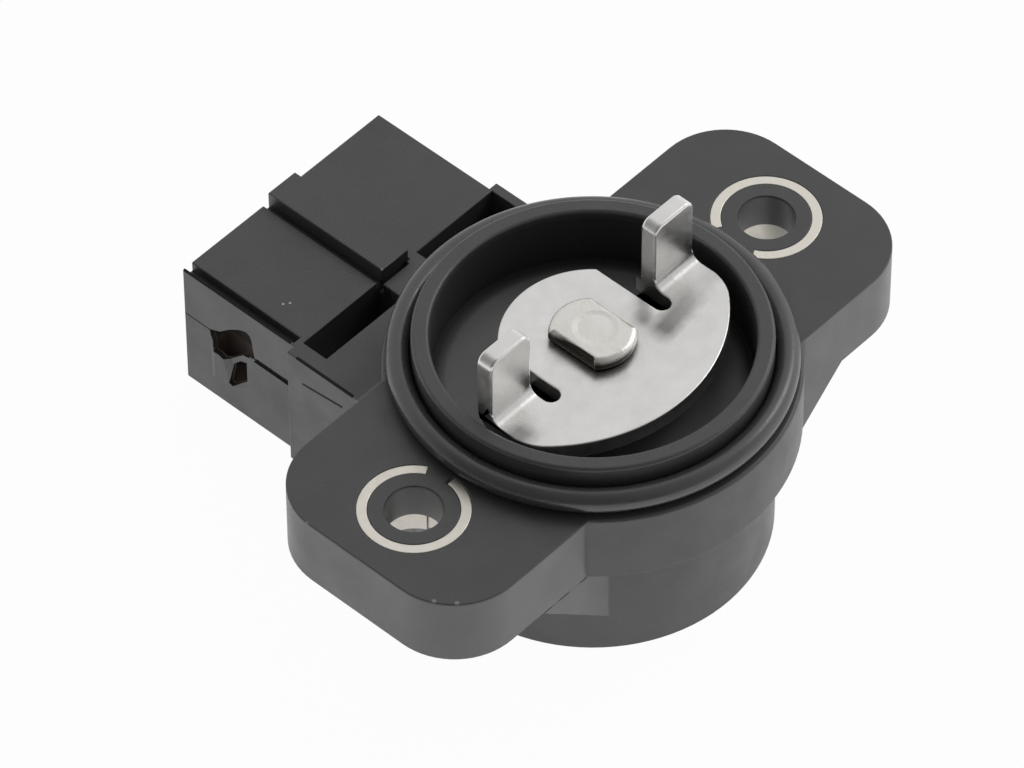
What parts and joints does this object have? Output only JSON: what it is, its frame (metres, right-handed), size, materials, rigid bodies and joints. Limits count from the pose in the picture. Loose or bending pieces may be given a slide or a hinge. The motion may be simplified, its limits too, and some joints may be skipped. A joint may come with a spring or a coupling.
{
  "type": "throttle position sensor",
  "caption": "Throttle position sensor: black plastic flanged housing with an O-ring spigot, a bent steel driver plate on a sprung rotor in an open cup, and a rectangular plug socket.",
  "frame": {"origin": "on the shaft axis, in the plane of the flange's mounting face, midway between the screw holes", "axes": "+Z out of the mounting side along the shaft, +X along the flange from hole to hole, +Y towards the mouth of the plug socket"},
  "size_m": [0.0528, 0.0488, 0.026],
  "materials": {
    "black_plastic": "satin moulded, glass filled",
    "inner_plastic": "satin",
    "rubber": "matt to satin",
    "bright_steel": "ground flush with the face",
    "plate_steel": "satin, rolled sheet with bright edges",
    "spring_steel": "drawn wire",
    "bronze": "satin",
    "board": "satin laminate",
    "carbon": "screen printed",
    "tinned": "tinned"
  },
  "bodies": {
    "sensor_body": {"housing": "black_plastic", "mounting_bush_left": "bright_steel", "mounting_bush_right": "bright_steel", "flange_o_ring": "rubber", "thrust_washer": "bronze", "shaft_seal": "rubber", "shaft_bearing": "bronze", "return_spring": "spring_steel", "resistor_board": "board", "resistor_track": "carbon", "collector_track": "tinned", "conductor_leads": "tinned", "supply_terminal": "tinned", "signal_terminal": "tinned", "ground_terminal": "tinned", "solder_joints": "tinned", "cover_gasket": "rubber", "back_cover": "black_plastic"},
    "rotor": {"driver_plate": "plate_steel", "rotor_shaft": "plate_steel", "rotor_carrier": "inner_plastic", "wiper": "bronze", "retaining_clip": "spring_steel"}
  },
  "joints": [
    {"name": "rotor_turn", "type": "hinge", "parent": "sensor_body", "child": "rotor", "pos_m": [0, 0, 0], "axis": [0, 0, 1], "range_deg": [0, 100], "stiffness_Nm_per_rad": 0.004, "springref_deg": -51.57, "deforming": ["return_spring"]}
  ]
}
